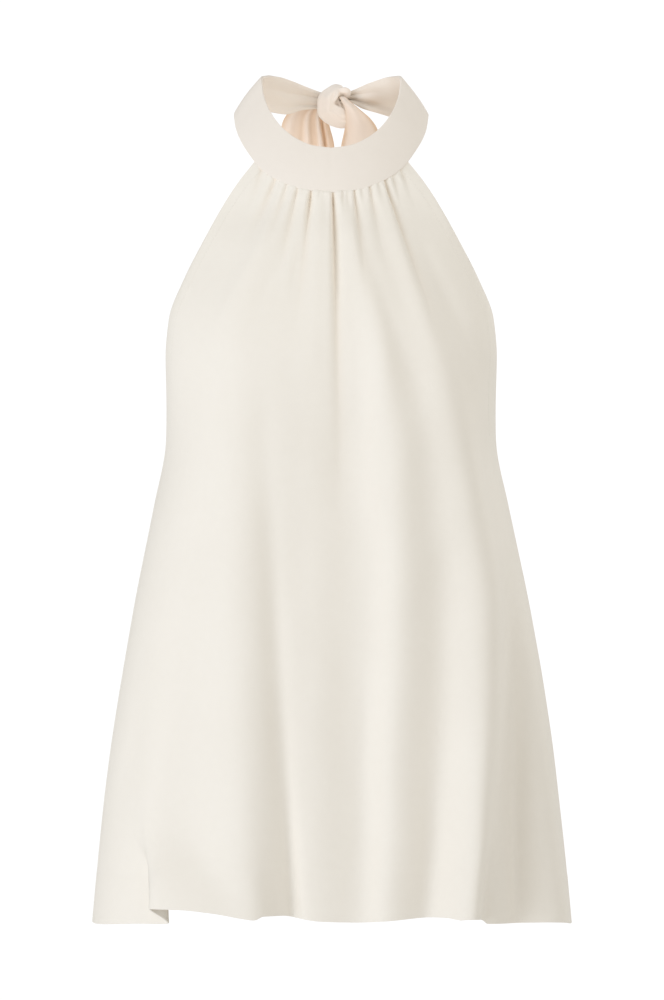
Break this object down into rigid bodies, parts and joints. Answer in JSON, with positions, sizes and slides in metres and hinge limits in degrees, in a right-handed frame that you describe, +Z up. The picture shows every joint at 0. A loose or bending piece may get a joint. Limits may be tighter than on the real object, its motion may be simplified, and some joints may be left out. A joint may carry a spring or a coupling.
{
  "type": "halter neck top",
  "caption": "Sleeveless flared top gathered onto a tall neck band that is knotted at the nape, with an open back, a low back panel and hanging tie ends.",
  "frame": {"origin": "middle of the neck, level with the nape, inside the neck band", "axes": "+Z up along the neck; -Y is the front of the top and +Y its back; +X is the wearer's left"},
  "size_m": [0.4056, 0.3343, 0.7208],
  "materials": {
    "body_cloth": "matte crepe",
    "band_cloth": "matte crepe, doubled",
    "knot_cloth": "matte crepe, knotted",
    "tie_cloth": "matte crepe, doubled and pleated"
  },
  "bodies": {
    "root": {"front_panel": "body_cloth", "back_panel": "body_cloth", "neck_band": "band_cloth", "tie_knot": "knot_cloth", "tie_end_left": "tie_cloth", "tie_end_right": "tie_cloth"}
  },
  "joints": []
}
